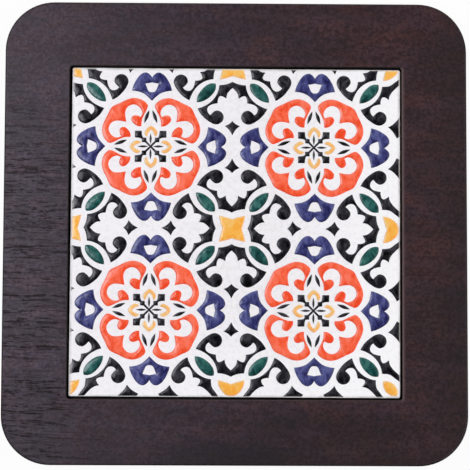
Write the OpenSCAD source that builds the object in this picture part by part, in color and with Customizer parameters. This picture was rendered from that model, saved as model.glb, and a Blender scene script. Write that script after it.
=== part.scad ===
// Square wooden trivet with a glazed relief tile set in its window.
// Lengths are in millimetres. +Z is up, +Y runs to the back edge, and the origin
// lies on the table under the middle of the board.

/* [Board] */
// Width of the wood between the window and the outer edge
bar_w = 29.8; // [18:0.2:45]
// Radius of the board's four corners, seen from above
board_corner_r = 22.5; // [8:0.5:40]
// Thickness of the base board, which closes the window from below
base_board_t = 6; // [4:0.5:12]
// Rounding of the outer edges, above and below
board_edge_r = 1; // [0.5:0.1:2]

/* [Window] */
// Gap between the tile and the window on each side
tile_gap = 1; // [0.5:0.1:1.6]
// Radius of the window's inner corners
window_corner_r = 1.2; // [0.6:0.1:2]
// Width of the chamfer on the window's upper edge
window_chamfer = 0.5; // [0.2:0.1:0.8]

/* [Tile] */
// Side length of the square ceramic tile
tile_w = 150; // [100:1:200]
// Thickness of the fired clay body
tile_body_t = 7; // [5:0.5:10]
// Radius of the tile's corners, seen from above
tile_corner_r = 0.9; // [0.6:0.1:2]
// Height of the white glaze above the top board
tile_proud = 0.5; // [0.3:0.1:2]
// Width of each groove in the tile's back
groove_w = 8; // [4:1:12]
// Width of each rib between two grooves
rib_w = 6; // [3:1:10]
// Depth of the grooves
groove_depth = 0.8; // [0.4:0.1:1.5]

/* [Glazes] */
// Thickness of the white glaze over the whole face
white_glaze_t = 0.5; // [0.3:0.1:1]
// Height of the coloured glazes above the white glaze
colour_glaze_t = 0.5; // [0.2:0.05:0.8]
// How far the black glaze has spread past the lines it was laid on along
black_spread = 0.1; // [0:0.02:0.2]
// Bare white rim round the coloured pattern
print_margin = 0.3; // [0.2:0.05:1.5]
// How far the pattern sits to the right of the tile's centre
print_shift_x = -1.7; // [-3:0.1:3]
// How far the pattern sits behind the tile's centre
print_shift_y = 1.6; // [-3:0.1:3]
// Straight pieces in each stretch of a curved outline
curve_steps = 2; // [1:1:4]

/* [Adhesive] */
// Radius of each dab of adhesive under the tile
dab_r = 14; // [8:1:20]
// Thickness of the dabs, pressed flat by the tile
dab_t = 1; // [0.8:0.1:2.5]

/* [Feet] */
// Radius of each round foot
foot_r = 7; // [4:0.5:10]
// Height of the feet
foot_h = 3; // [2:0.5:6]
// Rounding of each foot's lower edge
foot_edge_r = 0.8; // [0.3:0.1:1.2]
// Distance from the board's outer edges to each foot's centre
foot_inset = 24; // [20:1:40]

/* [Hidden] */
$fn = 96;

// Plan sizes that follow from the tile
window_w = tile_w + 2 * tile_gap;
board_w = window_w + 2 * bar_w;
foot_place = board_w / 2 - foot_inset;
dab_place_share = 0.3;
dab_place = dab_place_share * tile_w;

// Heights, from the table up
base_z = foot_h;
top_z = base_z + base_board_t;
tile_z = top_z + dab_t;
white_z = tile_z + tile_body_t;
colour_z = white_z + white_glaze_t;
top_board_t = colour_z - tile_proud - top_z;

// The tile is set by hand, so it sits a little off centre and a little turned in its gap
set_right_share = -0.04;
set_back_share = 0.07;
set_skew_share = 0.17;
tile_set_x = set_right_share * tile_gap;
tile_set_y = set_back_share * tile_gap;
tile_set_turn = -asin(set_skew_share * tile_gap / (tile_w / 2));

// Grooves across the back of the tile
groove_pitch = groove_w + rib_w;
groove_count = floor((tile_w - rib_w) / groove_pitch);

// Where a cut has to run past a face
overrun = window_chamfer;

// One repeat of the pattern, from medallion to medallion
repeat_share = 0.4975;
repeat = repeat_share * tile_w;

// Each colour is laid on by itself, and lies this share of the repeat off its true place
orange_off_shares = [0.0030, -0.0022];
navy_off_shares = [0.0060, -0.0005];
green_off_shares = [0.0022, -0.0025];
yellow_off_shares = [0.0022, -0.0025];
black_off_shares = [0, 0];

// The white rim is wider at the left than at the right
rim_off_shares = [0.6, 0];

// The glaze's edge is rounded over half its thickness
glaze_round_share = 0.5;
glaze_edge_r = glaze_round_share * min(white_glaze_t, tile_corner_r);

// Outlines of the pattern. Each point is a share of the repeat, and a third value of 1
// marks a sharp corner. Half outlines run from the axis of symmetry back to it.
// Round a medallion, whose centre is 0, 0:
petal_half_shares = [
    [0.243, 0.243], [0.195, 0.268], [0.150, 0.290], [0.105, 0.301], [0.058, 0.290],
    [0.025, 0.263], [0.023, 0.242], [0.045, 0.196], [0.057, 0.165], [0.060, 0.126, 1],
    [0.084, 0.128], [0.110, 0.146], [0.122, 0.167], [0.114, 0.188], [0.095, 0.194],
    [0.065, 0.184, 1], [0.056, 0.207], [0.066, 0.236], [0.088, 0.255], [0.113, 0.260],
    [0.142, 0.248], [0.158, 0.222], [0.159, 0.192], [0.152, 0.152, 1]
];
heart_half_shares = [
    [0, 0.282, 1], [0.022, 0.304], [0.049, 0.326], [0.083, 0.339], [0.123, 0.345, 1],
    [0.115, 0.375], [0.099, 0.408], [0.078, 0.438], [0.054, 0.455], [0.032, 0.457],
    [0.013, 0.444], [0, 0.426, 1]
];
heart_hole_half_shares = [
    [0, 0.336], [0.018, 0.340], [0.030, 0.360], [0.041, 0.389, 1], [0.020, 0.392], [0, 0.396, 1]
];
leaf_half_shares = [
    [0.278, 0.278, 1], [0.280, 0.302], [0.292, 0.332], [0.316, 0.364], [0.346, 0.388],
    [0.371, 0.396], [0.394, 0.394, 1]
];
seed_shares = [[0.0110, 0.220, 1], [0.0165, 0.180], [0.0385, 0.147, 1], [0.0335, 0.187]];
pip_shares = [[0, 0.019, 1], [0.0055, 0.046], [0, 0.075, 1], [-0.0055, 0.046]];
chevron_half_shares = [
    [0, 0.131, 1], [0.017, 0.121], [0.031, 0.107], [0.0395, 0.088], [0.036, 0.072],
    [0.026, 0.061, 1], [0.019, 0.077], [0.013, 0.092], [0, 0.105, 1]
];
cross_arm_half_shares = [
    [0, 0.0065, 1], [0.0265, 0.0335, 1], [0.0275, 0.0525, 1], [0.0460, 0.0530, 1],
    [0.0525, 0.0650], [0.0560, 0.0950, 1], [0.0950, 0.0950, 1]
];
// Round a star, whose centre is 0, 0:
star_quarter_shares = [[0, 0.060, 1], [0.041, 0.072], [0.0805, 0.0805, 1], [0.072, 0.041]];
bracket_half_shares = [
    [0, 0.098, 1], [0.019, 0.107], [0.045, 0.115], [0.080, 0.119, 1], [0.089, 0.160],
    [0.110, 0.199], [0.142, 0.231], [0.180, 0.253], [0.212, 0.265, 1], [0.188, 0.303],
    [0.146, 0.340], [0.102, 0.360], [0.067, 0.346], [0.055, 0.316], [0.068, 0.287],
    [0.097, 0.276], [0.119, 0.289], [0.134, 0.306, 1], [0.149, 0.293], [0.156, 0.270],
    [0.150, 0.252], [0.128, 0.237], [0.092, 0.229, 1], [0.090, 0.206], [0.079, 0.185],
    [0.060, 0.187], [0.039, 0.199, 1], [0.033, 0.171], [0.017, 0.149], [0, 0.134, 1]
];
diamond_half_shares = [[0, 0.341, 1], [0.019, 0.359], [0.044, 0.371, 1], [0.019, 0.393], [0, 0.426, 1]];
// At the right and front edges the pattern is drawn out past the middle of its outer stars.
// The stars close before the rim, and the black runs on to it:
edge_bracket_start_shares = [[-0.028, 0.072, 1], [0, 0.092], [0.030, 0.114], [0.055, 0.120], [0.080, 0.121, 1]];
edge_bracket_end_shares = [[0.041, 0.201, 1], [0.034, 0.173], [0.012, 0.143], [-0.028, 0.107, 1]];
edge_diamond_shares = [
    [-0.028, 0.309, 1], [0.012, 0.353], [0.043, 0.371, 1], [0.015, 0.397], [-0.009, 0.438, 1],
    [-0.028, 0.425, 1]
];
edge_star_half_shares = [
    [0, 0.056, 1], [0.037, 0.068], [0.081, 0.0795, 1], [0.078, 0.050], [0.062, 0.018],
    [0.036, -0.009], [0, -0.018]
];
corner_star_half_shares = [
    [-0.078, -0.078, 1], [-0.045, -0.077], [-0.014, -0.062], [0.007, -0.034], [0.0125, -0.008],
    [0.008, 0.008]
];
// The middle of the bracket's outline is the same at the edge
bracket_body_first = 4;
bracket_body_last = 25;
edge_bracket_shares = concat(
    edge_bracket_start_shares,
    [for (i = [bracket_body_first:bracket_body_last]) bracket_half_shares[i]],
    edge_bracket_end_shares
);

// A point's place, without its corner mark
function place(point) = [point.x, point.y];
function is_corner(point) = len(point) == 3;
function marked(place, point) = is_corner(point) ? [place.x, place.y, 1] : place;

// A half outline completed by its mirror image across the Y axis, or across the diagonal.
// A point on the axis isn't repeated.
function reversed(points) = [for (i = [len(points) - 1:-1:0]) points[i]];
function mirrored(half) = concat(
    half,
    [for (p = reversed(half)) if (p.x != 0) marked([-p.x, p.y], p)]
);
function mirrored_diagonally(half) = concat(
    half,
    [for (p = reversed(half)) if (p.x != p.y) marked([p.y, p.x], p)]
);
function turned(points, quarters) = [
    for (p = points) marked([
        p.x * cos(90 * quarters) - p.y * sin(90 * quarters),
        p.x * sin(90 * quarters) + p.y * cos(90 * quarters)
    ], p)
];

// The direction of a smooth outline at point b, between a and c, as long as from b to the
// neighbour that the curve runs to
function heading(a, b, c, neighbour) = norm(neighbour - b) * (c - a) / norm(c - a);

// A point part of the way along a curve from a to b, which leaves a along from_a and
// reaches b along into_b
function along(a, from_a, b, into_b, share) =
    a * (2 * pow(share, 3) - 3 * pow(share, 2) + 1)
    + from_a * (pow(share, 3) - 2 * pow(share, 2) + share)
    + b * (3 * pow(share, 2) - 2 * pow(share, 3))
    + into_b * (pow(share, 3) - pow(share, 2));

// A closed outline as many short straight pieces: smooth through its points, sharp at corners,
// and straight between two corners
function smooth(points) = let (n = len(points)) [
    for (i = [0:n - 1])
        let (
            before = place(points[(i + n - 1) % n]),
            a = place(points[i]),
            b = place(points[(i + 1) % n]),
            after = place(points[(i + 2) % n]),
            a_sharp = is_corner(points[i]),
            b_sharp = is_corner(points[(i + 1) % n]),
            at_a = heading(before, a, b, b),
            at_b = heading(a, b, after, a),
            from_a = !a_sharp ? at_a : b_sharp ? b - a : (3 * (b - a) - at_b) / 2,
            into_b = !b_sharp ? at_b : a_sharp ? b - a : (3 * (b - a) - at_a) / 2,
            pieces = a_sharp && b_sharp ? 1 : curve_steps
        )
        for (step = [0:pieces - 1]) along(a, from_a, b, into_b, step / pieces)
];

// The four-armed cross at a medallion's centre, as one outline
cross_shares = [
    for (quarter = [0:3])
        each turned(
            [for (p = mirrored_diagonally(cross_arm_half_shares)) if (p.y != 0) p],
            -quarter
        )
];
star_shares = [for (quarter = [0:3]) each turned(star_quarter_shares, -quarter)];

// A square with rounded corners, centred on the origin
module rounded_square(w, r) {
    union() {
        square([w, w - 2 * r], center = true);
        square([w - 2 * r, w], center = true);
        for (x = [-1, 1], y = [-1, 1])
            translate([x * (w / 2 - r), y * (w / 2 - r)]) circle(r);
    }
}

// Half the section of a slab, from its middle out, with a rounded upper edge
module slab_section(half_w, t, edge_r) {
    union() {
        square([half_w, t - edge_r]);
        square([half_w - edge_r, t]);
        intersection() {
            translate([half_w - edge_r, t - edge_r]) circle(edge_r);
            square([half_w, t]);
        }
    }
}

// A square slab with rounded corners and a rounded upper edge, standing on z = 0
module slab(w, corner_r, t, edge_r) {
    straight = w - 2 * corner_r;
    union() {
        for (x = [-1, 1], y = [-1, 1])
            translate([x * straight / 2, y * straight / 2, 0])
                rotate_extrude() slab_section(corner_r, t, edge_r);
        for (turn = [0:90:270])
            rotate([90, 0, turn])
                linear_extrude(straight, center = true) slab_section(w / 2, t, edge_r);
    }
}

// Everything on the tile is placed with it
module set_tile(z) {
    translate([tile_set_x, tile_set_y, z]) rotate(tile_set_turn) children();
}

module top_board() {
    color("#3d3136")
    translate([0, 0, top_z])
    difference() {
        slab(board_w, board_corner_r, top_board_t, board_edge_r);
        window();
    }
}

// The square hole for the tile, with a narrow chamfer round its upper edge
module window() {
    straight = window_w - 2 * window_corner_r;
    chamfer_z = top_board_t - window_chamfer;
    union() {
        translate([0, 0, -overrun])
            linear_extrude(top_board_t + 2 * overrun) rounded_square(window_w, window_corner_r);
        for (x = [-1, 1], y = [-1, 1])
            translate([x * straight / 2, y * straight / 2, chamfer_z])
                cylinder(
                    window_chamfer + overrun,
                    window_corner_r,
                    window_corner_r + window_chamfer + overrun
                );
        for (turn = [0:90:270])
            rotate([90, 0, turn])
                linear_extrude(straight, center = true)
                    polygon([
                        [0, chamfer_z],
                        [window_w / 2, chamfer_z],
                        [window_w / 2 + window_chamfer + overrun, top_board_t + overrun],
                        [0, top_board_t + overrun]
                    ]);
    }
}

module base_board() {
    color("#382c31")
    translate([0, 0, top_z]) mirror([0, 0, 1])
        slab(board_w, board_corner_r, base_board_t, board_edge_r);
}

module tile_body() {
    color("#d9c9b4")
    set_tile(tile_z)
    difference() {
        linear_extrude(tile_body_t) rounded_square(tile_w, tile_corner_r);
        for (i = [0:groove_count - 1])
            translate([(i - (groove_count - 1) / 2) * groove_pitch, 0, 0])
                cube([groove_w, tile_w + 2 * overrun, 2 * groove_depth], center = true);
    }
}

module white_glaze() {
    color("#f4f2f5")
    set_tile(white_z) slab(tile_w, tile_corner_r, white_glaze_t, glaze_edge_r);
}

// One colour of the pattern, as raised glaze cut off at the tile's white rim
module glaze(off_shares) {
    set_tile(colour_z)
    linear_extrude(colour_glaze_t)
    intersection() {
        translate([print_shift_x, print_shift_y] + repeat * off_shares) children();
        translate(print_margin * rim_off_shares)
            square(tile_w - 2 * print_margin, center = true);
    }
}

module field(shares) {
    polygon(repeat * smooth(shares));
}

// Repeats what it is given at each quarter turn round each of the four medallions
module round_medallions() {
    for (x = [-1, 1], y = [-1, 1])
        translate(repeat / 2 * [x, y])
            for (turn = [0:90:270]) rotate(turn) children();
}

module orange_glaze() {
    color("#fb6648")
    glaze(orange_off_shares) round_medallions()
        field(mirrored_diagonally(petal_half_shares));
}

module navy_glaze() {
    color("#413f7c")
    glaze(navy_off_shares) round_medallions()
    difference() {
        field(mirrored(heart_half_shares));
        field(mirrored(heart_hole_half_shares));
    }
}

module green_glaze() {
    color("#1f5f55")
    glaze(green_off_shares) round_medallions()
        field(mirrored_diagonally(leaf_half_shares));
}

module yellow_glaze() {
    color("#fbb34e")
    glaze(yellow_off_shares) {
        round_medallions() field(mirrored(chevron_half_shares));
        for (x = [-1:1], y = [-1:1]) translate(repeat * [x, y]) star(x == 1, y == -1);
    }
}

// A star, closed early where it meets the right edge, the front edge or both
module star(at_right, at_front) {
    if (at_right && at_front) rotate(-90) field(mirrored_diagonally(corner_star_half_shares));
    else if (at_right) rotate(90) field(mirrored(edge_star_half_shares));
    else if (at_front) field(mirrored(edge_star_half_shares));
    else field(star_shares);
}

module black_glaze() {
    color("#26252a")
    glaze(black_off_shares) offset(delta = black_spread) {
        for (x = [-1, 1], y = [-1, 1]) translate(repeat / 2 * [x, y]) field(cross_shares);
        round_medallions() {
            field(pip_shares);
            field(seed_shares);
            mirror([1, 0]) field(seed_shares);
        }
        for (x = [-1:1], y = [-1:1], quarter = [0:3])
            translate(repeat * [x, y]) rotate(-90 * quarter) brackets(x, y, quarter);
    }
}

// The scrolled bracket on one side of the star at x, y, and the diamond beyond it.
// Quarter 0 is behind the star, 1 to its right, 2 in front and 3 to its left.
module brackets(x, y, quarter) {
    step_x = [0, 1, 0, -1][quarter];
    step_y = [1, 0, -1, 0][quarter];
    on_tile = abs(x + step_x) <= 1 && abs(y + step_y) <= 1;
    on_edge = (x == 1 && step_x == 0) || (y == -1 && step_y == 0);
    if (on_tile && !on_edge) {
        field(mirrored(bracket_half_shares));
        field(mirrored(diamond_half_shares));
    }
    if (on_tile && on_edge && quarter < 2) mirror([1, 0]) edge_brackets();
    if (on_tile && on_edge && quarter >= 2) edge_brackets();
}

module edge_brackets() {
    field(edge_bracket_shares);
    field(edge_diamond_shares);
}

// Dab 1 lies in the middle, and dabs 2 to 5 lie towards the tile's corners
module adhesive_dab(number) {
    places = [[0, 0], [1, 1], [-1, 1], [-1, -1], [1, -1]];
    color("#e6e2d6")
    set_tile(top_z)
    translate(dab_place * places[number - 1])
    rotate_extrude()
    union() {
        square([dab_r - dab_t / 2, dab_t]);
        translate([dab_r - dab_t / 2, dab_t / 2]) circle(dab_t / 2);
    }
}

module foot(number) {
    places = [[1, 1], [-1, 1], [-1, -1], [1, -1]];
    color("#2b2b2d")
    translate([foot_place * places[number - 1].x, foot_place * places[number - 1].y, base_z])
    mirror([0, 0, 1])
    rotate_extrude() slab_section(foot_r, foot_h, foot_edge_r);
}

top_board();
base_board();
tile_body();
white_glaze();
orange_glaze();
navy_glaze();
green_glaze();
yellow_glaze();
black_glaze();
adhesive_dab(1);  // adhesive_dab_1
adhesive_dab(2);  // adhesive_dab_2
adhesive_dab(3);  // adhesive_dab_3
adhesive_dab(4);  // adhesive_dab_4
adhesive_dab(5);  // adhesive_dab_5
foot(1);  // foot_1
foot(2);  // foot_2
foot(3);  // foot_3
foot(4);  // foot_4
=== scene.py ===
# A trivet: a glazed tile with raised coloured glazes, set in the window of a dark wooden board.
import math

import bpy
import numpy as np
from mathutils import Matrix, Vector, geometry, noise


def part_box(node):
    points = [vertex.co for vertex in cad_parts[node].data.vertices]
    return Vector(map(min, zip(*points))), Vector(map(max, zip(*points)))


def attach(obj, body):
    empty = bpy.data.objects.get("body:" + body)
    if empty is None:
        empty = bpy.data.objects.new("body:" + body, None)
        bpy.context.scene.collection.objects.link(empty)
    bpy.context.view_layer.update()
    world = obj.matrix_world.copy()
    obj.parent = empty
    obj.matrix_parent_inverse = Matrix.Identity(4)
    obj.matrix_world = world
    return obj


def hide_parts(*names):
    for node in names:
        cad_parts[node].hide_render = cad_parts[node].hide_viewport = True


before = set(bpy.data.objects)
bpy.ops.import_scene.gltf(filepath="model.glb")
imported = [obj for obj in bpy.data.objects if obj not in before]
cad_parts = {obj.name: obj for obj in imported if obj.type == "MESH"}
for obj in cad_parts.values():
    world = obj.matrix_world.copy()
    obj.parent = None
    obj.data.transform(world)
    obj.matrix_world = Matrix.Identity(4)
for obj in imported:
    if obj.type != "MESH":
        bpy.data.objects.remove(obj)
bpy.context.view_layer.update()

# Base board
# A plain square of stained hardwood, planed, rounded at its corners and edges, and glued
# under the top board. Its underside carries the feet. The grain runs from left to right.

mm = 0.001


def stain(red, green, blue):
    """A colour as it looks on the object, from 0 to 255, made linear for the material."""
    shares = [level / 255 for level in (red, green, blue)]
    return [s / 12.92 if s <= 0.04045 else ((s + 0.055) / 1.055) ** 2.4 for s in shares] + [1.0]


def feed(tree, socket, value):
    """Gives an input its value, or links it to the socket that feeds it."""
    if isinstance(value, bpy.types.NodeSocket):
        tree.links.new(value, socket)
    else:
        socket.default_value = value


def put(tree, kind, feeds=None, **settings):
    """Adds a node to a tree. feeds gives its inputs: a value, or the socket that feeds it."""
    new = tree.nodes.new(kind)
    for name, value in settings.items():
        setattr(new, name, value)
    for name, value in (feeds or {}).items():
        feed(tree, new.inputs[name], value)
    return new


def mix(tree, share, low, high, how="MIX"):
    """Mixes two colours and returns the mixed colour's socket."""
    feeds = {0: share, 6: low, 7: high}
    return put(tree, "ShaderNodeMix", feeds, data_type="RGBA", blend_type=how).outputs[2]


def tint(tree, share, colour, over):
    """Multiplies a colour by a thin transparent one, and returns its socket."""
    return mix(tree, share, colour, over, "MULTIPLY")


def sums(tree, how, *values, clamp=False):
    """Arithmetic on the values, taken in turn. Returns the result's socket."""
    total = values[0]
    for value in values[1:] or (0.0,):
        step = put(tree, "ShaderNodeMath", {0: total, 1: value}, operation=how, use_clamp=clamp)
        total = step.outputs[0]
    return total


def plus(tree, *values, clamp=False):
    return sums(tree, "ADD", *values, clamp=clamp)


def times(tree, *values):
    return sums(tree, "MULTIPLY", *values)


def most(tree, *values):
    return sums(tree, "MAXIMUM", *values)


def parts(tree, vector):
    """The three sockets that a vector's X, Y and Z come out of."""
    return put(tree, "ShaderNodeSeparateXYZ", {0: vector}).outputs


def away(tree, place):
    """How far a place lies from the middle each way: its X, Y and Z without their signs."""
    unsigned = put(tree, "ShaderNodeVectorMath", {0: place}, operation="ABSOLUTE").outputs[0]
    return parts(tree, unsigned)


def ramp(tree, value, low, high, to_low=0.0, to_high=1.0):
    """Spreads a value smoothly from one range to another."""
    feeds = {"Value": value, "From Min": low, "From Max": high, "To Min": to_low, "To Max": to_high}
    return put(tree, "ShaderNodeMapRange", feeds, interpolation_type="SMOOTHSTEP").outputs[0]


def cloud(tree, place, size, detail=3.0, rough=0.55, warp=0.0):
    """Soft noise whose spots are about the given size across, in metres."""
    feeds = {"Vector": place, "Scale": 1 / size, "Detail": detail, "Roughness": rough}
    return put(tree, "ShaderNodeTexNoise", {**feeds, "Distortion": warp}).outputs["Fac"]


def group(name, ins, outs):
    """An empty node group with named sockets. Returns it, its inputs and its output node."""
    tree = bpy.data.node_groups.new(name, "ShaderNodeTree")
    for title, kind in ins:
        tree.interface.new_socket(title, in_out="INPUT", socket_type="NodeSocket" + kind)
    for title, kind in outs:
        tree.interface.new_socket(title, in_out="OUTPUT", socket_type="NodeSocket" + kind)
    return tree, tree.nodes.new("NodeGroupInput").outputs, tree.nodes.new("NodeGroupOutput")


def new_finish(name):
    """A new material. Returns it, its tree and its surface's inputs."""
    made = bpy.data.materials.new(name)
    made.use_nodes = True
    return made, made.node_tree, made.node_tree.nodes["Principled BSDF"].inputs


def emboss(tree, surface, height, strength, distance, over=None):
    """Works a height into the surface as fine relief, over another normal if there is one."""
    feeds = {"Height": height, "Strength": strength, "Distance": distance}
    if over is not None:
        feeds["Normal"] = over
    tree.links.new(put(tree, "ShaderNodeBump", feeds).outputs[0], surface["Normal"])


wood, given, result = group(
    "stained_wood_grain",
    [("Place", "Vector")],
    [("Stain", "Color"), ("Roughness", "Float"), ("Relief", "Float")],
)
# The grain runs a little aslant and wanders, so the place is turned and bent before it is
# drawn out along the grain
slant = 0.035
bends_in_a_metre = 22
bend = 4 * mm
turned = {"Vector": given["Place"], "Rotation": (0, 0, slant)}
aslant = put(wood, "ShaderNodeMapping", turned).outputs[0]
bends = put(wood, "ShaderNodeTexNoise", {"Vector": aslant, "Scale": bends_in_a_metre, "Detail": 2})
sideways = {0: bends.outputs["Color"], 1: (0.0, bend, bend)}
shift = put(wood, "ShaderNodeVectorMath", sideways, operation="MULTIPLY").outputs[0]
bent = put(wood, "ShaderNodeVectorMath", {0: aslant, 1: shift}).outputs[0]


def drawn_out(share):
    """The place drawn out along the grain, so that whatever is put there runs on for longer."""
    return put(wood, "ShaderNodeMapping", {"Vector": bent, "Scale": (share, 1, 1)}).outputs[0]


to_right, to_back, _ = parts(wood, given["Place"])
fleck = cloud(wood, drawn_out(0.95), size=1.5 * mm, rough=0.7)
fibres = cloud(wood, drawn_out(0.07), size=1.3 * mm, rough=0.6)
bands = cloud(wood, drawn_out(0.1), size=8 * mm)

# Open pores lie in rows of short dashes and long lines, close together in the part of the
# board where coarse is high and sparse in the rest
sparse = 0.1
coarse_at_left = ramp(wood, to_right, -40 * mm, -92 * mm)
coarse = times(wood, coarse_at_left, ramp(wood, to_back, 85 * mm, 15 * mm))
coarse = plus(wood, times(wood, coarse, 1 - sparse), sparse)
rows = ramp(wood, cloud(wood, drawn_out(0.03), size=6 * mm, detail=2), 0.38, 0.54, to_low=0.4)
lines = cloud(wood, drawn_out(0.05), size=1.25 * mm, detail=4, rough=0.65)
lines = ramp(wood, lines, 0.54, 0.62)
dashes = ramp(wood, cloud(wood, drawn_out(0.2), size=1.1 * mm, rough=0.6), 0.54, 0.65)
broken = ramp(wood, cloud(wood, drawn_out(0.5), size=1.8 * mm, rough=0.7), 0.34, 0.52)
pores = times(wood, most(wood, lines, times(wood, dashes, 0.9)), broken, rows, coarse)
furrows = times(wood, ramp(wood, fibres, 0.54, 0.64, to_high=0.3), coarse)
pores = most(wood, pores, furrows)

# The stain lies darker and lighter from fibre to fibre, in patches that are cooler and
# warmer, and warmest at the right
dark_fibre, light_fibre, in_pores = stain(30, 1, 15), stain(60, 41, 50), stain(9, 3, 5)
cooler, warmer, drunk_in = (0.72, 0.98, 1.25, 1), (1.5, 1.0, 0.6, 1), (0.66, 0.62, 0.68, 1)
contrast = 7.0
tone = plus(wood, times(wood, fleck, 0.7), times(wood, fibres, 0.16), times(wood, bands, 0.14))
lit = plus(wood, times(wood, sums(wood, "SUBTRACT", tone, 0.5), contrast), 0.5, clamp=True)
body = mix(wood, lit, dark_fibre, light_fibre)
rightward = ramp(wood, to_right, -80 * mm, 90 * mm)
cool = ramp(wood, cloud(wood, drawn_out(0.55), size=5 * mm, rough=0.6), 0.38, 0.62)
cool = times(wood, cool, ramp(wood, rightward, 0.0, 1.0, to_low=0.9, to_high=0.4))
body = tint(wood, cool, body, cooler)
warm = cloud(wood, drawn_out(0.45), size=9 * mm, rough=0.6)
warm = ramp(wood, warm, 0.4, 0.66, to_low=0.35, to_high=0.95)
warm = times(wood, warm, ramp(wood, rightward, 0.0, 1.0, to_low=0.12))
body = tint(wood, warm, body, warmer)
drunk = ramp(wood, cloud(wood, drawn_out(0.4), size=15 * mm, rough=0.6), 0.35, 0.6)
body = tint(wood, drunk, body, drunk_in)

# It is darker towards the front and the right, less so at the right end of the front bar, and
# darkest along the outer edge there
deepest, at_the_edge = (0.15, 0.24, 0.45, 1), (0.64, 0.62, 0.65, 1)
frontward = ramp(wood, to_back, 70 * mm, -95 * mm)
deep = times(wood, frontward, ramp(wood, to_right, -70 * mm, 20 * mm))
in_front_bar = ramp(wood, to_back, -68 * mm, -82 * mm)
eased = times(wood, ramp(wood, to_right, 10 * mm, 70 * mm), in_front_bar)
deep = times(wood, deep, ramp(wood, eased, 0.0, 1.0, to_low=1.0, to_high=0.5))
deep = times(wood, deep, ramp(wood, bands, 0.3, 0.65, to_low=0.45, to_high=0.1))
body = tint(wood, deep, body, deepest)
outward = most(wood, to_right, times(wood, to_back, -1.0))
body = tint(wood, ramp(wood, outward, 82 * mm, 105 * mm), body, at_the_edge)

# A painted sheen lightens it towards the left, where it shines back the lamp at the left, and more
# along the left edge, but less so at the back
painted_sheen, painted_sheen_at_edge = (0.0105, 0.0055, 0.0065, 1), (0.0065, 0.0075, 0.012, 1)
body = mix(wood, ramp(wood, to_right, 10 * mm, -95 * mm), body, painted_sheen, "ADD")
forward = ramp(wood, to_back, 50 * mm, 98 * mm, to_low=1.0, to_high=0.2)
sheen_at_edge = times(wood, ramp(wood, to_right, -62 * mm, -88 * mm), forward)
body = mix(wood, sheen_at_edge, body, painted_sheen_at_edge, "ADD")
body = mix(wood, pores, body, in_pores)
rough = ramp(wood, tone, 0.35, 0.65, to_low=0.46, to_high=0.4)
rough = plus(wood, rough, times(wood, pores, 0.4))
height = plus(wood, times(wood, fleck, 0.7), times(wood, fibres, 0.3))
feed(wood, result.inputs["Stain"], body)
feed(wood, result.inputs["Roughness"], rough)
feed(wood, result.inputs["Relief"], sums(wood, "SUBTRACT", height, pores))

window_edge = 76 * mm
glue_height = 9 * mm
arris = 0.45 * mm


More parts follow.
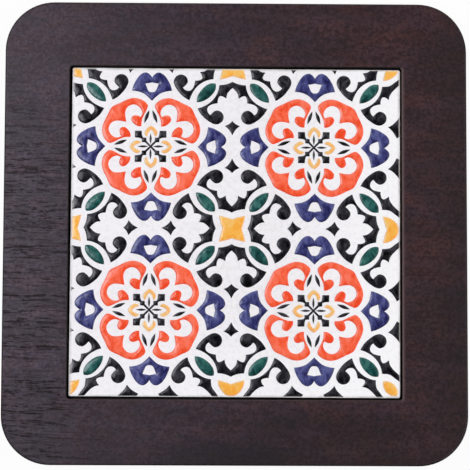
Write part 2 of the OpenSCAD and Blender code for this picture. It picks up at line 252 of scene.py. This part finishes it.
def stained_wood(name, cut_from):
    """The boards' wood. cut_from shifts the figure, as each board comes from another plank."""
    made, tree, surface = new_finish(name)
    here = put(tree, "ShaderNodeTexCoord")
    moved = {"Vector": here.outputs["Object"], "Location": cut_from}
    place = put(tree, "ShaderNodeMapping", moved).outputs[0]
    grain = put(tree, "ShaderNodeGroup", node_tree=wood)
    tree.links.new(place, grain.inputs["Place"])
    faces_right, faces_back, faces_up = parts(tree, here.outputs["Normal"])
    right, back, up = parts(tree, here.outputs["Object"])
    off_x, off_y, _ = away(tree, here.outputs["Object"])
    off = most(tree, off_x, off_y)
    # Painted shade darkens the rounded edges and the sides, which turn away from the light, and a
    # painted shadow darkens the window's walls most of all
    painted_side_shade = ramp(tree, faces_up, 0.98, 0.7, to_high=0.9)
    painted_side_shade = times(tree, painted_side_shade, ramp(tree, faces_up, 0.1, 0.5, to_low=0.45))
    shade = mix(tree, painted_side_shade, grain.outputs["Stain"], stain(12, 9, 14))
    near_window = ramp(tree, off, window_edge + 14 * mm, window_edge + 4 * mm)
    upright = times(tree, ramp(tree, faces_up, 0.35, 0.1), ramp(tree, faces_up, -0.5, -0.1))
    shade = mix(tree, times(tree, near_window, upright), shade, stain(5, 2, 3))
    # A fine dark line of glue shows where the two boards meet
    from_glue = sums(tree, "ABSOLUTE", sums(tree, "SUBTRACT", up, glue_height))
    line = ramp(tree, from_glue, 0.1 * mm, 0.28 * mm, to_low=0.8, to_high=0.0)
    shade = mix(tree, line, shade, stain(6, 4, 5))
    # A painted highlight makes the window's rim paler where it catches the lamp at the left: most
    # at the right, and a little at the front
    inner, outer = window_edge - 16 * mm, window_edge - 6 * mm
    at_right = ramp(tree, faces_right, -0.25, -0.5, to_high=0.9)
    at_right = times(tree, at_right, ramp(tree, right, inner, outer))
    at_front = ramp(tree, faces_back, 0.25, 0.5, to_high=0.4)
    at_front = times(tree, at_front, ramp(tree, back, -inner, -outer))
    past_edge = window_edge + 0.3 * mm
    beside = times(
        tree,
        ramp(tree, right, past_edge, past_edge + 1.5 * mm, to_low=0.42, to_high=0.0),
        ramp(tree, right, window_edge - 1 * mm, window_edge),
        ramp(tree, off_y, window_edge + 1 * mm, window_edge - 1 * mm),
    )
    painted_rim_highlight = times(tree, most(tree, at_right, at_front, beside), ramp(tree, faces_up, 0.1, 0.4))
    shade = mix(tree, painted_rim_highlight, shade, stain(104, 84, 84))
    # Hands have worn the gloss off the outer edge at the front and the right
    worn = most(tree, faces_right, times(tree, faces_back, -1.0))
    worn = ramp(tree, worn, 0.1, 0.5, to_high=0.5)
    worn = times(tree, worn, ramp(tree, off, 95 * mm, 100 * mm))
    feed(tree, surface["Base Color"], shade)
    rough = plus(tree, grain.outputs["Roughness"], worn, clamp=True)
    feed(tree, surface["Roughness"], rough)
    feed(tree, surface["Specular IOR Level"], 0.36)
    # Sanding has taken the sharpness off every arris
    sanded = put(tree, "ShaderNodeBevel", {"Radius": arris}, samples=6).outputs[0]
    relief = grain.outputs["Relief"]
    emboss(tree, surface, relief, strength=0.6, distance=0.22 * mm, over=sanded)
    return made


base_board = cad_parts["base_board"]
base_board.material_slots[0].material = stained_wood("stained_wood_base", (0.31, 0.07, 0.023))

# Feet
# Four round bumpers of moulded rubber, stuck under the board's corners. Each has a rounded
# rim that meets the table, and a shallow dish in the middle of it.


def alone(piece):
    """Selects one piece and nothing else."""
    bpy.ops.object.select_all(action="DESELECT")
    piece.select_set(True)
    bpy.context.view_layer.objects.active = piece


def choose_faces(piece, wanted):
    """In edit mode, selects only the faces for which wanted(normal) is true."""
    bpy.ops.mesh.select_mode(type="FACE")
    bpy.ops.mesh.select_all(action="DESELECT")
    bpy.ops.object.mode_set(mode="OBJECT")
    for face in piece.data.polygons:
        face.select = wanted(face.normal)
    bpy.ops.object.mode_set(mode="EDIT")


def settle(piece, body="root"):
    """Puts a finished piece's place into its mesh, and lets it ride on the body."""
    alone(piece)
    bpy.ops.object.transform_apply(location=True, rotation=True, scale=True)
    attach(piece, body)


rubber, tree, surface = new_finish("foot_rubber")
here = put(tree, "ShaderNodeTexCoord").outputs["Object"]
grime = cloud(tree, here, size=2.2 * mm, detail=4, rough=0.65)
skin = cloud(tree, here, size=0.25 * mm, detail=2)
dusty = mix(tree, ramp(tree, grime, 0.35, 0.7), stain(34, 34, 36), stain(50, 50, 51))
feed(tree, surface["Base Color"], dusty)
feed(tree, surface["Roughness"], ramp(tree, grime, 0.3, 0.7, to_low=0.62, to_high=0.78))
emboss(tree, surface, skin, strength=0.4, distance=0.03 * mm)

# The dish is sunk in steps, each given as how far it goes in and how far down, in millimetres
rim_round = 0.9 * mm
dish = [(1.1, 0.0), (0.5, 0.3), (0.7, 0.12), (1.2, 0.05)]
for number in range(1, 5):
    low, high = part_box(f"foot_{number}")
    middle, radius, depth = (low + high) / 2, (high.x - low.x) / 2, high.z - low.z
    bpy.ops.object.select_all(action="DESELECT")
    bpy.ops.mesh.primitive_cylinder_add(vertices=64, radius=radius, depth=depth, location=middle)
    foot = bpy.context.object
    foot.name = f"rubber_foot_{number}"
    bpy.ops.object.mode_set(mode="EDIT")
    # The face underneath gets its rounded rim, and what is left of it is then the dish
    choose_faces(foot, lambda normal: normal.z < -0.9)
    bpy.ops.mesh.bevel(offset=rim_round, segments=5, affect="EDGES")
    choose_faces(foot, lambda normal: normal.z < -0.999)
    for inwards, sunk in dish:
        bpy.ops.mesh.inset(thickness=inwards * mm, depth=-sunk * mm)
    bpy.ops.object.mode_set(mode="OBJECT")
    bpy.ops.object.shade_smooth_by_angle(angle=math.radians(50))
    foot.data.materials.append(rubber)
    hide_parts(f"foot_{number}")
    settle(foot)

# Adhesive
# Five dabs of silicone, put on the base board inside the window and pressed flat when the
# tile was set down on them. They cured to a soft off-white.

silicone, tree, surface = new_finish("cured_silicone")
here = put(tree, "ShaderNodeTexCoord").outputs["Object"]
smear = cloud(tree, here, size=4 * mm, rough=0.6, warp=1.0)
feed(tree, surface["Base Color"], mix(tree, smear, stain(222, 218, 206), stain(238, 235, 226)))
feed(tree, surface["Roughness"], ramp(tree, smear, 0.3, 0.7, to_low=0.3, to_high=0.42))
emboss(tree, surface, smear, strength=0.5, distance=0.3 * mm)
for number in range(1, 6):
    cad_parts[f"adhesive_dab_{number}"].material_slots[0].material = silicone

# Top board
# The frame that shows: one piece of the same stained hardwood, with the square window sawn
# right through it and a narrow chamfer cut round the window's upper edge.

top_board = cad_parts["top_board"]
top_board.material_slots[0].material = stained_wood("stained_wood_top", (0.0, 0.0, 0.0))

# Tile body
# Pressed and fired pale clay, bare at the sides and at the back, where straight grooves give
# the adhesive a hold. It stands on the dabs, a millimetre clear of the window all round.

clay, tree, surface = new_finish("fired_clay")
here = put(tree, "ShaderNodeTexCoord").outputs["Object"]
grit = cloud(tree, here, size=0.5 * mm, detail=4, rough=0.7)
flush = ramp(tree, cloud(tree, here, size=14 * mm), 0.35, 0.65, to_high=0.5)
biscuit = mix(tree, ramp(tree, grit, 0.3, 0.7), stain(206, 188, 160), stain(226, 210, 184))
feed(tree, surface["Base Color"], mix(tree, flush, biscuit, stain(214, 190, 158)))
feed(tree, surface["Roughness"], 0.92)
emboss(tree, surface, grit, strength=0.6, distance=0.15 * mm)
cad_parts["tile_body"].material_slots[0].material = clay

# White glaze
# A glossy tin white, poured over the tile's whole face and fired. It is softly uneven, and breaks
# over the tile's edges, where it thins and where shade is painted on it.

tile_rim = 75.1 * mm


def in_from_rim(tree, here):
    """How far a place lies in from the nearest side of the tile."""
    off_x, off_y, _ = away(tree, here)
    return sums(tree, "SUBTRACT", tile_rim, most(tree, off_x, off_y))


white, tree, surface = new_finish("white_glaze")
here = put(tree, "ShaderNodeTexCoord").outputs["Object"]
pour = cloud(tree, here, size=9 * mm)
speck = cloud(tree, here, size=2.2 * mm)
milk = mix(tree, ramp(tree, speck, 0.3, 0.7), stain(238, 234, 235), stain(245, 242, 243))
milk = mix(tree, ramp(tree, pour, 0.35, 0.7, to_high=0.5), milk, stain(247, 244, 245))
# Painted light evens out the fall-off of the lamps: the white is painted whiter towards the right
# and the front, and greyer at the left, where the lamp at the left lights it most
right, back, _ = parts(tree, here)
painted_light_at_right = ramp(tree, right, 15 * mm, 74 * mm, to_high=0.65)
painted_light_share = plus(tree, painted_light_at_right, ramp(tree, back, -30 * mm, -74 * mm, to_high=0.4))
milk = mix(tree, sums(tree, "MINIMUM", painted_light_share, 0.8), milk, stain(255, 254, 254))
milk = mix(tree, ramp(tree, right, -30 * mm, -74 * mm, to_high=0.35), milk, stain(234, 231, 233))
# It thins where it runs off the rim as it melts, and there the rim is painted grey as painted shade
# on the rounded edge beside the dark gap
thin = ramp(tree, in_from_rim(tree, here), 0.0, 1.5 * mm, to_low=0.75, to_high=0.0)
thin = times(tree, thin, ramp(tree, pour, 0.3, 0.7, to_low=0.3))
feed(tree, surface["Base Color"], mix(tree, thin, milk, stain(150, 143, 142)))
feed(tree, surface["Roughness"], ramp(tree, speck, 0.3, 0.7, to_low=0.25, to_high=0.32))
waves = plus(tree, times(tree, pour, 0.7), times(tree, speck, 0.06))
emboss(tree, surface, waves, strength=0.35, distance=0.2 * mm)
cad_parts["white_glaze"].material_slots[0].material = white

# Coloured glazes
# Thick coloured glazes trailed on over the white, field by field, and fired until they
# rounded over at the edges. Each field stands about half a millimetre proud.


def outlines_of(node):
    """The outlines of a node's upper faces, its lowest height and its thickness, all in mm."""
    mesh = node.data
    top = max(v.co.z for v in mesh.vertices)
    bottom = min(v.co.z for v in mesh.vertices)
    same_height = 0.01 * mm
    key = lambda co: (round(co.x / mm, 3), round(co.y / mm, 3))
    edges = set()
    for face in mesh.polygons:
        corners = [mesh.vertices[i].co for i in face.vertices]
        if all(abs(c.z - top) < same_height for c in corners):
            ring = [key(c) for c in corners]
            edges.update(zip(ring, ring[1:] + ring[:1]))
    following = {a: b for a, b in edges if (b, a) not in edges}
    loops = []
    while following:
        start, loop = next(iter(sorted(following))), []
        while start in following:
            loop.append(start)
            start = following.pop(start)
        loops.append(np.array(loop))
    return loops, bottom / mm, (top - bottom) / mm


def inside(points, loops):
    """Which points lie inside the area that the outlines bound."""
    odd = np.zeros(len(points), bool)
    for loop in loops:
        for (ax, ay), (bx, by) in zip(loop, np.roll(loop, -1, 0)):
            crosses = (ay > points[:, 1]) != (by > points[:, 1])
            at = (bx - ax) * (points[:, 1] - ay) / ((by - ay) or 1e-9) + ax
            odd ^= crosses & (points[:, 0] < at)
    return odd


def reach(points, loops):
    """Each point's distance from the nearest outline."""
    nearest = np.full(len(points), np.inf)
    for loop in loops:
        for a, b in zip(loop, np.roll(loop, -1, 0)):
            along = b - a
            share = np.clip((points - a) @ along / (along @ along), 0, 1)
            gap = np.linalg.norm(points - a - share[:, None] * along, axis=1)
            nearest = np.minimum(nearest, gap)
    return nearest


sharp_turn = math.radians(38)
tiny_edge = 0.1


def rounder(loop):
    """The outline with a point added on each smooth stretch, so that its curves run true."""
    before, after = np.roll(loop, 1, 0), np.roll(loop, -1, 0)
    into, out = loop - before, after - loop
    turn = np.arctan2(into[:, 0] * out[:, 1] - into[:, 1] * out[:, 0], (into * out).sum(1))
    smooth = np.abs(turn) < sharp_turn
    points = []
    for i, point in enumerate(loop):
        points.append(point)
        j = (i + 1) % len(loop)
        length = np.linalg.norm(out[i])
        if length > tiny_edge and (smooth[i] or smooth[j]):
            lean = lambda k: (after[k] - before[k]) / np.linalg.norm(after[k] - before[k]) * length
            leave = lean(i) if smooth[i] else 2 * out[i] - lean(j)
            arrive = lean(j) if smooth[j] else 2 * out[i] - lean(i)
            points.append((point + loop[j]) / 2 + (leave - arrive) / 8)
    return np.array(points)


def stepped(loop, spacing=0.5):
    """The same outline in steps, with points added wherever it runs straight for long."""
    points = []
    for point, onward in zip(loop, np.roll(loop, -1, 0)):
        steps = max(1, round(np.linalg.norm(onward - point) / spacing))
        points += [point + (onward - point) * step / steps for step in range(steps)]
    return np.array(points)


def turning(loop):
    """Above zero for an outline that bounds a field, and below zero for one round a hole."""
    after = np.roll(loop, -1, 0)
    return (loop[:, 0] * after[:, 1] - after[:, 0] * loop[:, 1]).sum()


def fields_of(loops):
    """Groups the outlines into fields: an outer outline with the holes that lie in it."""
    outer = [loop for loop in loops if turning(loop) > 0]
    holes = [loop for loop in loops if turning(loop) < 0]
    return [[loop] + [hole for hole in holes if inside(hole[:1], [loop])[0]] for loop in outer]


# The rounded edge's width, and the spacing of the points between the edges. The rings of
# points stand at shares of that width, the last with every second point only, and a point
# that comes too near to another stretch of the outline is left out
edge_w = 0.45
fill_w = 0.8
rings = ((0.12, 1), (0.4, 1), (1.0, 2))
near_enough = 0.93
merge_gap = 1e-5


def points_in(field):
    """Points in a field: rings of them along its outlines, and an even fill in the middle."""
    walks = [stepped(loop) for loop in field]
    found = []
    for share, every in rings:
        for walk in walks:
            tangent = np.roll(walk, -1, 0) - np.roll(walk, 1, 0)
            tangent /= np.linalg.norm(tangent, axis=1)[:, None]
            ring = walk + share * edge_w * np.stack([-tangent[:, 1], tangent[:, 0]], 1)
            ring = ring[::every]
            ring = ring[inside(ring, field)]
            found.append(ring[reach(ring, field) > near_enough * share * edge_w])
    rim = np.concatenate(field)
    low, high = rim.min(0), rim.max(0)
    rows = np.arange(low[1], high[1], fill_w * math.sqrt(3) / 2)
    columns = np.arange(low[0], high[0], fill_w)
    fill = np.array([(x + (i % 2) * fill_w / 2, y) for i, y in enumerate(rows) for x in columns])
    fill = fill[inside(fill, field)]
    found.append(fill[reach(fill, field) > edge_w + fill_w / 2])
    return np.concatenate(found)


def net(points, loops):
    """Triangles between the points, within the outlines that the first of them lie on."""
    edges, start = [], 0
    for loop in loops:
        n = len(loop)
        edges += [(start + i, start + (i + 1) % n) for i in range(n)]
        start += n
    centre = points.mean(0)
    spots = [Vector(p) for p in points - centre]
    made = geometry.delaunay_2d_cdt(spots, edges, [], 0, merge_gap)
    places = np.array([tuple(v) for v in made[0]]) + centre
    order = [ids[0] if ids else -1 for ids in made[3]]
    faces = np.array([f for f in made[2]])
    return places, order, faces[inside(places[faces].mean(1), loops)]


# How far in from its outline a field goes on rising, how wide the lumps in it are, and what
# share of the height each part of the shape has
dome_w = 2.4
lump_w = 1.7
edge_rise, dome_rise, lump_rise = 0.46, 0.42, 0.1


def swelling(places, depth):
    """How high the melted glaze stands at each place, as a share of the node's thickness."""
    on_edge, on_dome = np.clip(depth / edge_w, 0, 1), np.clip(depth / dome_w, 0, 1)
    edge, dome = np.sqrt(1 - (1 - on_edge) ** 2), 1 - (1 - on_dome) ** 2
    lump = np.array([noise.noise(Vector((x / lump_w, y / lump_w, 0.7))) for x, y in places])
    return edge_rise * edge + dome_rise * dome + lump_rise * lump * on_edge


def raised_glaze(name, node_name):
    """A coloured glaze as rounded fields, made to the outlines of the node that it replaces."""
    loops, floor, rise = outlines_of(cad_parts[node_name])
    verts, faces, depths = [], [], []
    for field in fields_of(loops):
        field = [rounder(loop) for loop in field]
        rim = np.concatenate(field)
        places, order, upper = net(np.concatenate([rim, points_in(field)]), field)
        depth = reach(places, field)
        depth[[o < len(rim) for o in order]] = 0
        start = len(verts)
        heights = floor + rise * swelling(places, depth)
        verts += [(x * mm, y * mm, z * mm) for (x, y), z in zip(places, heights)]
        depths += list(depth)
        faces += [tuple(start + i for i in face) for face in upper]
        # The flat back is netted between the same points of the outlines
        _, back_order, lower = net(rim, field)
        at = {o: start + i for i, o in enumerate(order) if 0 <= o < len(rim)}
        faces += [tuple(at[back_order[i]] for i in reversed(face)) for face in lower]
    mesh = bpy.data.meshes.new(name)
    mesh.from_pydata(verts, [], faces)
    mesh.update()
    kept_depth = mesh.attributes.new("depth", "FLOAT", "POINT").data
    kept_depth.foreach_set("value", np.array(depths, np.float32))
    piece = bpy.data.objects.new(name, mesh)
    bpy.context.scene.collection.objects.link(piece)
    alone(piece)
    bpy.ops.object.shade_smooth_by_angle(angle=math.radians(70))
    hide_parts(node_name)
    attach(piece, "root")
    return piece


trailed, given, result = group(
    "trailed_glaze",
    [
        ("Place", "Vector"),
        ("Lean", "Float"),
        ("Pool_and_shade", "Float"),
        ("Thin", "Color"),
        ("Full", "Color"),
        ("Pooled", "Color"),
    ],
    [("Color", "Color"), ("Roughness", "Float"), ("Relief", "Float")],
)
# The glaze pools in soft strokes. The pool input says where it lies deeper and where painted shade
# and painted light lie on it, and Lean where it lies so thin that the white shows through
brushed = {"Vector": given["Place"], "Scale": (1.0, 0.6, 1.0), "Rotation": (0, 0, 0.6)}
strokes = put(trailed, "ShaderNodeMapping", brushed).outputs[0]
pools = cloud(trailed, strokes, size=3.2 * mm, detail=4, rough=0.65, warp=0.8)
depth_and_shade = plus(trailed, pools, given["Pool_and_shade"])
grain = cloud(trailed, given["Place"], size=0.9 * mm, rough=0.65)
shade = mix(trailed, ramp(trailed, depth_and_shade, 0.34, 0.54), given["Thin"], given["Full"])
shade = mix(trailed, ramp(trailed, depth_and_shade, 0.5, 0.68), shade, given["Pooled"])
shade = mix(trailed, ramp(trailed, grain, 0.5, 0.8, to_high=0.3), shade, given["Thin"])
shade = mix(trailed, given["Lean"], shade, stain(236, 230, 226))
rough = ramp(trailed, grain, 0.3, 0.7, to_low=0.14, to_high=0.22)
relief = plus(trailed, times(trailed, pools, 0.5), times(trailed, grain, 0.35))
feed(trailed, result.inputs["Color"], shade)
feed(trailed, result.inputs["Roughness"], rough)
feed(trailed, result.inputs["Relief"], relief)

repeat = 74.6 * mm
pattern_middle = (-1.74 * mm, 1.67 * mm, 0.0)
medallion_middle = (repeat / 2, repeat / 2, 18 * mm)
heart_w, heart_edge = 13 * mm, 21 * mm
left_end = -74.6 * mm
thin_w = 0.75
away_from_left_lamp = (0.7, -0.7, 0.0)


def coloured_glaze(name, thin, full, pooled, rim=0.0, heart=0.0, gloss=0.36):
    """One glaze. rim thins it at its outline, and heart deepens it in a medallion's middle."""
    made, tree, surface = new_finish(name)
    here = put(tree, "ShaderNodeTexCoord").outputs
    depth = put(tree, "ShaderNodeAttribute", attribute_name="depth").outputs["Fac"]
    right, _, _ = parts(tree, here["Object"])
    inward = in_from_rim(tree, here["Object"])
    lean = most(
        tree,
        ramp(tree, right, left_end, left_end + 1.5 * mm, to_low=0.4, to_high=0.0),
        ramp(tree, depth, 0.0, thin_w, to_low=rim, to_high=0.0),
        ramp(tree, inward, 0.0, 1.0 * mm, to_low=0.5, to_high=0.0),
    )
    # Faces that turn towards the front and the right, away from the lamp at the left, are painted
    # deeper as painted shade, and faces that turn towards that lamp are painted paler as painted
    # light
    slope = {0: here["Normal"], 1: away_from_left_lamp}
    turned_from_left_lamp = put(tree, "ShaderNodeVectorMath", slope, operation="DOT_PRODUCT").outputs["Value"]
    # Every medallion is the same, so the place is wrapped into one repeat of the pattern
    apart = {0: here["Object"], 1: pattern_middle}
    apart = put(tree, "ShaderNodeVectorMath", apart, operation="SUBTRACT").outputs[0]
    wrapped = {0: apart, 1: (repeat, repeat, 1.0), 2: (0.0, 0.0, -1.0)}
    wrapped = put(tree, "ShaderNodeVectorMath", wrapped, operation="WRAP").outputs[0]
    around = {0: wrapped, 1: medallion_middle}
    around = put(tree, "ShaderNodeVectorMath", around, operation="DISTANCE").outputs["Value"]
    # This pools the glaze deeper in each medallion's middle, and adds the painted shade and painted
    # light
    pool_and_shade = plus(
        tree,
        ramp(tree, turned_from_left_lamp, -0.3, 0.3, to_low=-0.1, to_high=0.1),
        ramp(tree, turned_from_left_lamp, 0.3, 0.75, to_high=0.12),
        ramp(tree, around, heart_edge, heart_w, to_high=heart),
    )
    laid = {"Place": here["Object"], "Lean": lean, "Pool_and_shade": pool_and_shade}
    laid.update({"Thin": thin, "Full": full, "Pooled": pooled})
    effect = put(tree, "ShaderNodeGroup", node_tree=trailed)
    for title, value in laid.items():
        feed(tree, effect.inputs[title], value)
    feed(tree, surface["Base Color"], effect.outputs["Color"])
    feed(tree, surface["Roughness"], effect.outputs["Roughness"])
    feed(tree, surface["Specular IOR Level"], gloss)
    emboss(tree, surface, effect.outputs["Relief"], strength=0.45, distance=0.14 * mm)
    return made


petals = raised_glaze("orange_petals", "orange_glaze")
flame = stain(254, 122, 97), stain(251, 103, 68), stain(240, 72, 34)
petals.data.materials.append(coloured_glaze("orange_glaze", *flame, heart=0.12))
hearts = raised_glaze("navy_hearts", "navy_glaze")
ink = stain(89, 93, 144), stain(58, 59, 111), stain(25, 24, 74)
hearts.data.materials.append(coloured_glaze("navy_glaze", *ink))
leaves = raised_glaze("green_leaves", "green_glaze")
pine = stain(62, 112, 105), stain(28, 80, 76), stain(4, 44, 42)
leaves.data.materials.append(coloured_glaze("green_glaze", *pine))
stars = raised_glaze("yellow_stars", "yellow_glaze")
honey = stain(247, 197, 112), stain(251, 182, 78), stain(249, 166, 56)
stars.data.materials.append(coloured_glaze("yellow_glaze", *honey, rim=0.3))
scrolls = raised_glaze("black_scrolls", "black_glaze")
soot = stain(60, 59, 65), stain(27, 26, 31), stain(0, 0, 1)
scrolls.data.materials.append(coloured_glaze("black_glaze", *soot, gloss=0.24))

# Table and light
# The trivet lies on a white table. A soft lamp stands at its left, and three wide ones give
# the light that a white room's walls give back.

bpy.ops.object.select_all(action="DESELECT")
bpy.ops.mesh.primitive_plane_add(size=6, location=(0, 0, 0))
table = bpy.context.object
table.name = "table"
seen_white = 0.94
paper, tree, surface = new_finish("white_table")
feed(tree, surface["Base Color"], (0.9, 0.9, 0.9, 1))
feed(tree, surface["Roughness"], 0.8)
plain = tree.nodes["Principled BSDF"].outputs[0]
seen = put(tree, "ShaderNodeEmission", {"Color": (1, 1, 1, 1), "Strength": 1.0}).outputs[0]
rays = put(tree, "ShaderNodeLightPath").outputs["Is Camera Ray"]
both = put(tree, "ShaderNodeMixShader", {0: times(tree, rays, seen_white), 1: plain, 2: seen})
tree.links.new(both.outputs[0], tree.nodes["Material Output"].inputs["Surface"])
table.data.materials.append(paper)

room = bpy.data.worlds.new("white_room")
bpy.context.scene.world = room
room.use_nodes = True
tree = room.node_tree
air = tree.nodes["Background"]
feed(tree, air.inputs["Color"], (0.97, 0.98, 1.0, 1))
feed(tree, air.inputs["Strength"], 0.1)
seen = put(tree, "ShaderNodeBackground", {"Color": (1, 1, 1, 1), "Strength": 1.0}).outputs[0]
rays = put(tree, "ShaderNodeLightPath").outputs["Is Camera Ray"]
both = put(tree, "ShaderNodeMixShader", {0: rays, 1: air.outputs[0], 2: seen})
tree.links.new(both.outputs[0], tree.nodes["World Output"].inputs["Surface"])


def soft_lamp(name, place, size, power, colour=(1.0, 0.99, 0.97)):
    """A wide soft lamp that faces the trivet's middle. Its place and size are in metres."""
    data = bpy.data.lights.new(name, "AREA")
    data.shape, data.size, data.size_y = "RECTANGLE", size[0], size[1]
    data.energy, data.color = power, colour
    lamp = bpy.data.objects.new(name, data)
    lamp.location = place
    lamp.rotation_euler = (-Vector(place)).to_track_quat("-Z", "Y").to_euler()
    bpy.context.scene.collection.objects.link(lamp)


cool_light = (0.9, 0.92, 1.0)
soft_lamp("left_softbox", place=(-0.4, 0.1, 0.72), size=(0.3, 0.5), power=3.6, colour=cool_light)
soft_lamp("right_wall", place=(0.95, 0.0, 0.62), size=(0.9, 1.2), power=8.1)
soft_lamp("back_wall", place=(0.1, 0.95, 0.62), size=(1.2, 0.9), power=3.3)
soft_lamp("front_wall", place=(0.1, -0.95, 0.62), size=(1.2, 0.9), power=3.3)

# Camera
# It looks down on the trivet from almost straight above, a little from the front. Its place
# and its turn were fitted to the edges of the board and of the window in the photograph.

camera_data = bpy.data.cameras.new("camera")
camera_data.sensor_width = 36
camera_data.lens = 148.5
camera = bpy.data.objects.new("camera", camera_data)
camera.location = (-11.25 * mm, -74.36 * mm, 897.07 * mm)
camera.rotation_euler = [math.radians(a) for a in (4.7422, -0.7361, 0.2244)]
bpy.context.scene.collection.objects.link(camera)
bpy.context.scene.camera = camera
bpy.context.scene.view_settings.view_transform = "Standard"

bpy.context.view_layer.update()
